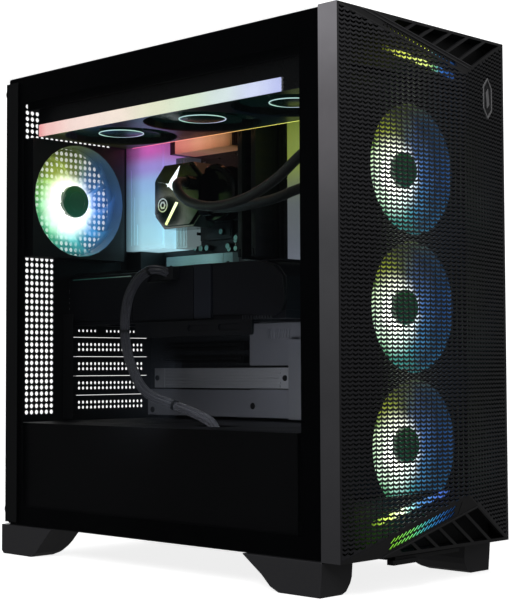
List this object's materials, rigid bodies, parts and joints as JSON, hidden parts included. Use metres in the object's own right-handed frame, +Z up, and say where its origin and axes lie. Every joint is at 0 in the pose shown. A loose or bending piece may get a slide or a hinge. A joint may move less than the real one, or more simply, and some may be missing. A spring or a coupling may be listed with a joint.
{
  "type": "desktop computer tower",
  "caption": "Mid-tower desktop computer with a glass side, folded mesh front, lit fans, liquid cooler, graphics card and a basement power supply.",
  "frame": {"origin": "middle of the footprint on the ground, under the centre of the bounding box", "axes": "+Z up, the meshed front looks along -Y, the glass side looks along -X and the steel side along +X"},
  "size_m": [0.23, 0.476, 0.48],
  "materials": {
    "chassis_steel": "satin black powder coat",
    "panel_steel": "satin black powder coat",
    "bezel_plastic": "fine textured dark grey",
    "mesh_steel": "satin black",
    "tinted_glass": "polished, smoke tinted, black border",
    "light_guide": "milky diffuser, lit",
    "badge_metal": "brushed",
    "filter_plastic": "fine nylon mesh in a moulded frame",
    "fan_plastic": "moulded black",
    "frosted_blade": "frosted translucent, lit",
    "radiator_metal": "satin black paint",
    "hose_rubber": "sleeved black",
    "pump_plastic": "gloss black",
    "board_laminate": "solder mask",
    "heatsink_metal": "brushed, anodised silver",
    "module_metal": "anodised black",
    "card_plastic": "matte black",
    "bracket_steel": "black paint",
    "cable_braid": "braided sleeves",
    "supply_steel": "textured black",
    "button_plastic": "gloss black",
    "foot_plastic": "satin dark grey"
  },
  "bodies": {
    "chassis": {"base_tray": "chassis_steel", "rear_panel": "chassis_steel", "motherboard_tray": "chassis_steel", "front_frame": "chassis_steel", "top_frame": "chassis_steel", "psu_shroud": "chassis_steel", "foot_front_left": "foot_plastic", "foot_front_right": "foot_plastic", "foot_rear_left": "foot_plastic", "foot_rear_right": "foot_plastic", "io_strip": "bezel_plastic", "rear_fan_frame": "fan_plastic", "radiator": "radiator_metal", "radiator_fan_frame": "fan_plastic", "radiator_light_bar": "light_guide", "pump_block": "pump_plastic", "coolant_hose_supply": "hose_rubber", "coolant_hose_return": "hose_rubber", "motherboard": "board_laminate", "io_cover": "heatsink_metal", "vrm_heatsink": "heatsink_metal", "drive_heatsink_upper": "heatsink_metal", "drive_heatsink_lower": "heatsink_metal", "chipset_cover": "heatsink_metal", "memory_module_1": "module_metal", "memory_module_2": "module_metal", "graphics_card": "card_plastic", "card_support_bracket": "bracket_steel", "graphics_power_cable": "cable_braid", "power_supply": "supply_steel", "front_fan_frame_1": "fan_plastic", "front_fan_frame_2": "fan_plastic", "front_fan_frame_3": "fan_plastic", "slot_cover_1": "bracket_steel", "slot_cover_2": "bracket_steel", "slot_cover_3": "bracket_steel", "slot_cover_4": "bracket_steel", "slot_cover_5": "bracket_steel"},
    "glass_panel": {"glass_side_panel": "tinted_glass", "glass_panel_flange": "panel_steel"},
    "steel_panel": {"steel_side_panel": "panel_steel"},
    "front_panel": {"front_bezel": "bezel_plastic", "front_mesh": "mesh_steel", "front_light_top": "light_guide", "front_light_bottom": "light_guide", "front_badge": "badge_metal"},
    "top_dust_filter": {"top_filter": "filter_plastic"},
    "bottom_dust_filter": {"bottom_filter": "filter_plastic"},
    "button": {"power_button": "button_plastic"},
    "mains_switch": {"power_supply_switch": "button_plastic"},
    "rear_rotor": {"rear_fan_rotor": "frosted_blade"},
    "front_rotor_1": {"front_fan_rotor_1": "frosted_blade"},
    "cooler_rotor_1": {"radiator_fan_rotor_1": "frosted_blade"},
    "card_rotor_1": {"graphics_fan_1": "fan_plastic"},
    "front_rotor_2": {"front_fan_rotor_2": "frosted_blade"},
    "cooler_rotor_2": {"radiator_fan_rotor_2": "frosted_blade"},
    "card_rotor_2": {"graphics_fan_2": "fan_plastic"},
    "front_rotor_3": {"front_fan_rotor_3": "frosted_blade"},
    "cooler_rotor_3": {"radiator_fan_rotor_3": "frosted_blade"},
    "card_rotor_3": {"graphics_fan_3": "fan_plastic"}
  },
  "joints": [
    {"name": "glass_panel_slide", "type": "slide", "parent": "chassis", "child": "glass_panel", "axis": [0, 1, 0], "range_m": [0, 0.3]},
    {"name": "steel_panel_slide", "type": "slide", "parent": "chassis", "child": "steel_panel", "axis": [0, 1, 0], "range_m": [0, 0.3]},
    {"name": "front_panel_pull", "type": "slide", "parent": "chassis", "child": "front_panel", "axis": [0, -1, 0], "range_m": [0, 0.12]},
    {"name": "top_filter_lift", "type": "slide", "parent": "chassis", "child": "top_dust_filter", "axis": [0, 0, 1], "range_m": [0, 0.08]},
    {"name": "bottom_filter_slide", "type": "slide", "parent": "chassis", "child": "bottom_dust_filter", "axis": [0, -1, 0], "range_m": [0, 0.3]},
    {"name": "power_button_press", "type": "slide", "parent": "chassis", "child": "button", "axis": [0, 0, -1], "range_m": [0, 0.002], "stiffness_N_per_m": 400},
    {"name": "mains_switch_rock", "type": "hinge", "parent": "chassis", "child": "mains_switch", "pos_m": [0.03, 0.2247, 0.062], "axis": [1, 0, 0], "range_deg": [-16, 0]},
    {"name": "front_fan_spin_1", "type": "hinge", "parent": "chassis", "child": "front_rotor_1", "pos_m": [0.008, -0.183, 0.357], "axis": [0, 1, 0], "continuous": true},
    {"name": "front_fan_spin_2", "type": "hinge", "parent": "chassis", "child": "front_rotor_2", "pos_m": [0.008, -0.183, 0.237], "axis": [0, 1, 0], "continuous": true},
    {"name": "front_fan_spin_3", "type": "hinge", "parent": "chassis", "child": "front_rotor_3", "pos_m": [0.008, -0.183, 0.117], "axis": [0, 1, 0], "continuous": true},
    {"name": "rear_fan_spin", "type": "hinge", "parent": "chassis", "child": "rear_rotor", "pos_m": [-0.041, 0.2159, 0.3587], "axis": [0, 1, 0], "continuous": true},
    {"name": "radiator_fan_spin_1", "type": "hinge", "parent": "chassis", "child": "cooler_rotor_1", "pos_m": [-0.036, -0.097, 0.43], "axis": [0, 0, 1], "continuous": true},
    {"name": "radiator_fan_spin_2", "type": "hinge", "parent": "chassis", "child": "cooler_rotor_2", "pos_m": [-0.036, 0.023, 0.43], "axis": [0, 0, 1], "continuous": true},
    {"name": "radiator_fan_spin_3", "type": "hinge", "parent": "chassis", "child": "cooler_rotor_3", "pos_m": [-0.036, 0.143, 0.43], "axis": [0, 0, 1], "continuous": true},
    {"name": "graphics_fan_spin_1", "type": "hinge", "parent": "chassis", "child": "card_rotor_1", "pos_m": [0.013, -0.04, 0.238], "axis": [0, 0, 1], "continuous": true},
    {"name": "graphics_fan_spin_2", "type": "hinge", "parent": "chassis", "child": "card_rotor_2", "pos_m": [0.013, 0.057, 0.238], "axis": [0, 0, 1], "continuous": true},
    {"name": "graphics_fan_spin_3", "type": "hinge", "parent": "chassis", "child": "card_rotor_3", "pos_m": [0.013, 0.154, 0.238], "axis": [0, 0, 1], "continuous": true}
  ]
}
